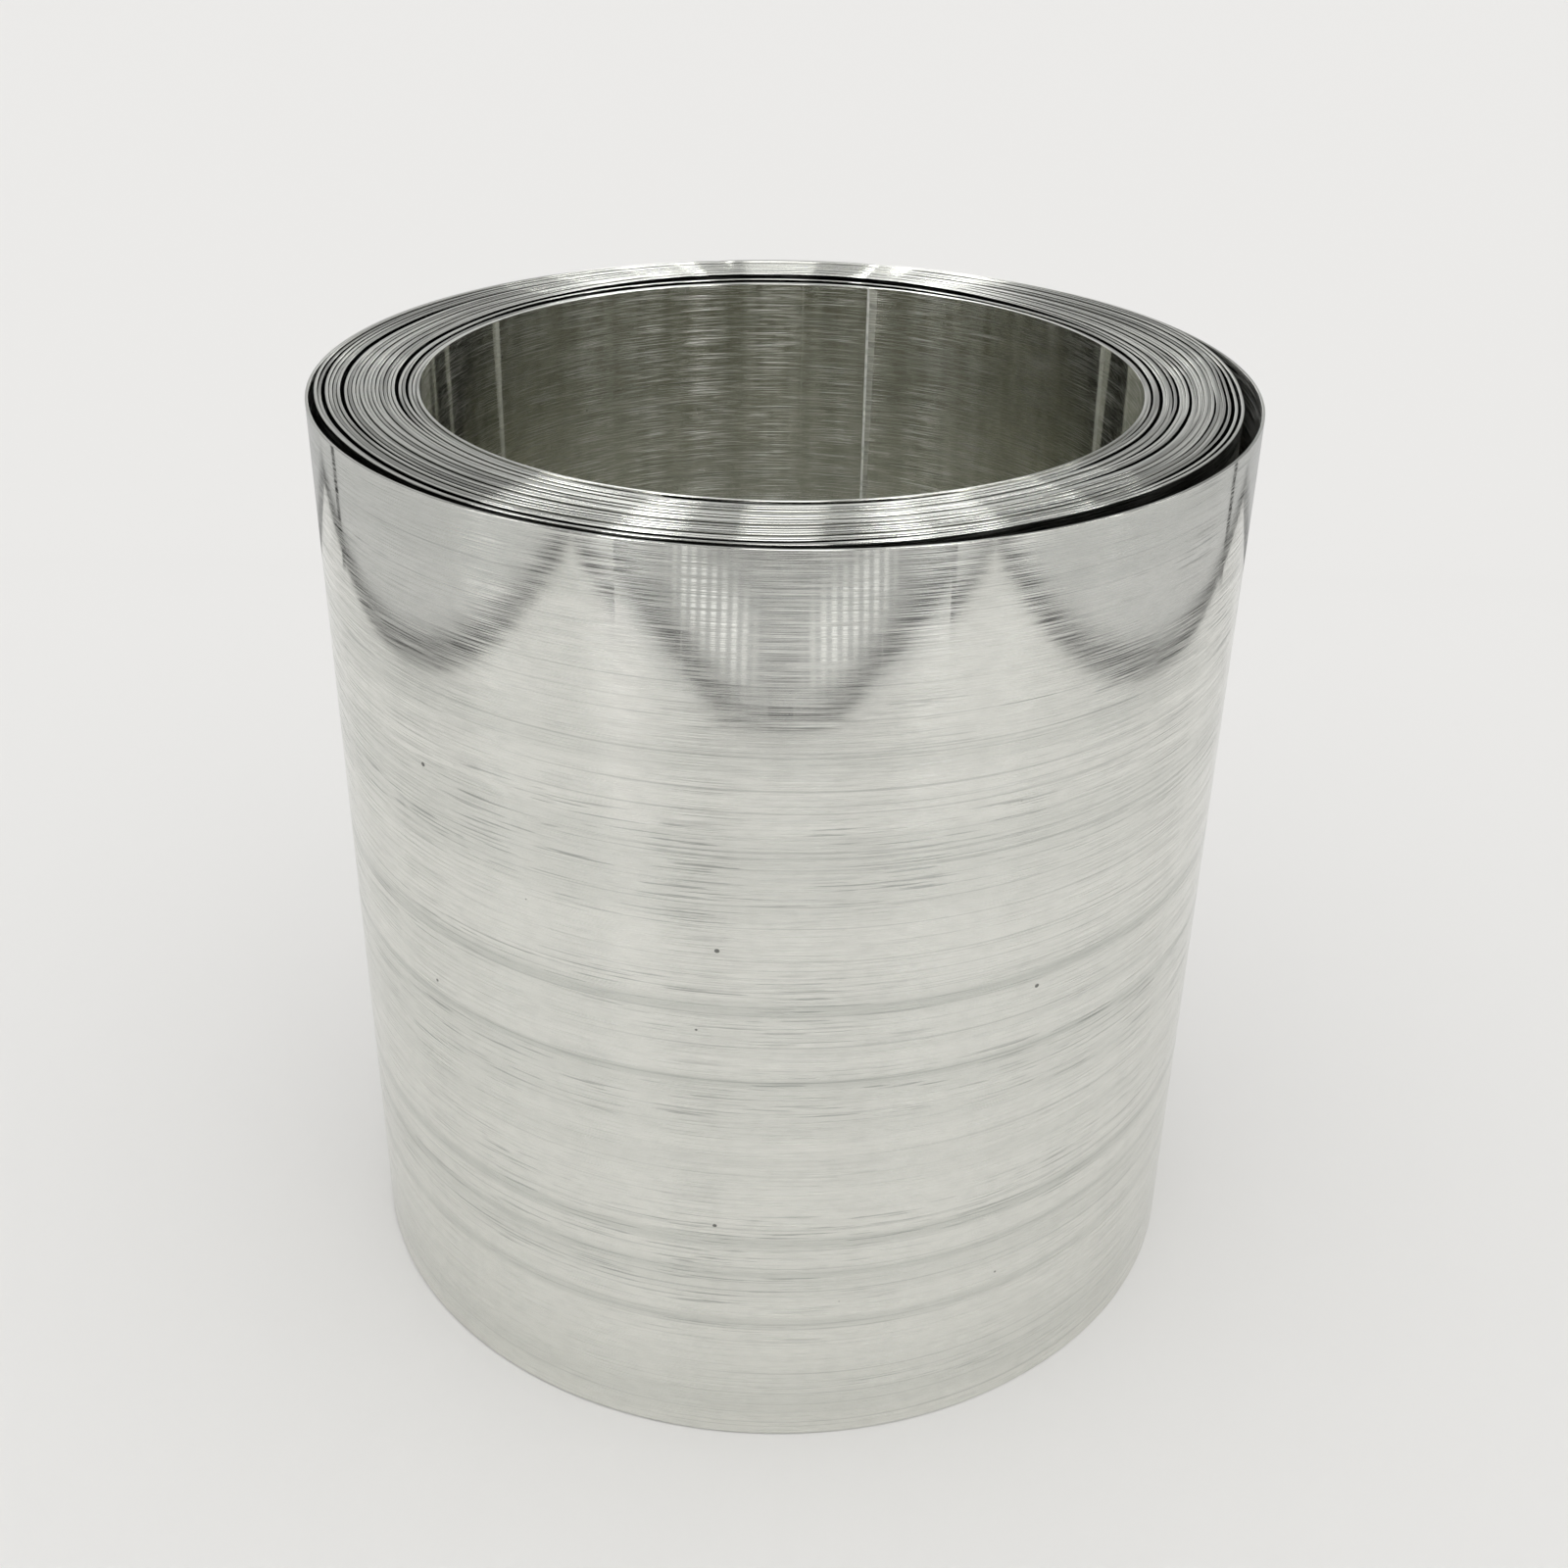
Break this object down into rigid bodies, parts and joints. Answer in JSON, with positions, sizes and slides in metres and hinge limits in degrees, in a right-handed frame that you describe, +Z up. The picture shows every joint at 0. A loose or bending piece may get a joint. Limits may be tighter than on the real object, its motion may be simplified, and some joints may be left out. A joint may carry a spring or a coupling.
{
  "type": "steel coil",
  "caption": "Small coil of thin bright steel strip, wound on itself with an open bore and standing on its end.",
  "frame": {"origin": "on the bore's axis, in the plane of the end that the coil stands on", "axes": "+Z up along the bore's axis, across the strip's width; -Y is the side that faces the viewer in the picture, and the strip's outer end is at the back, near +Y"},
  "size_m": [0.0958, 0.0958, 0.1],
  "materials": {
    "bright_strip": "bright rolled steel, semi-gloss, with fine rolling lines round the coil"
  },
  "bodies": {
    "root": {"strip_coil": "bright_strip"}
  },
  "joints": []
}
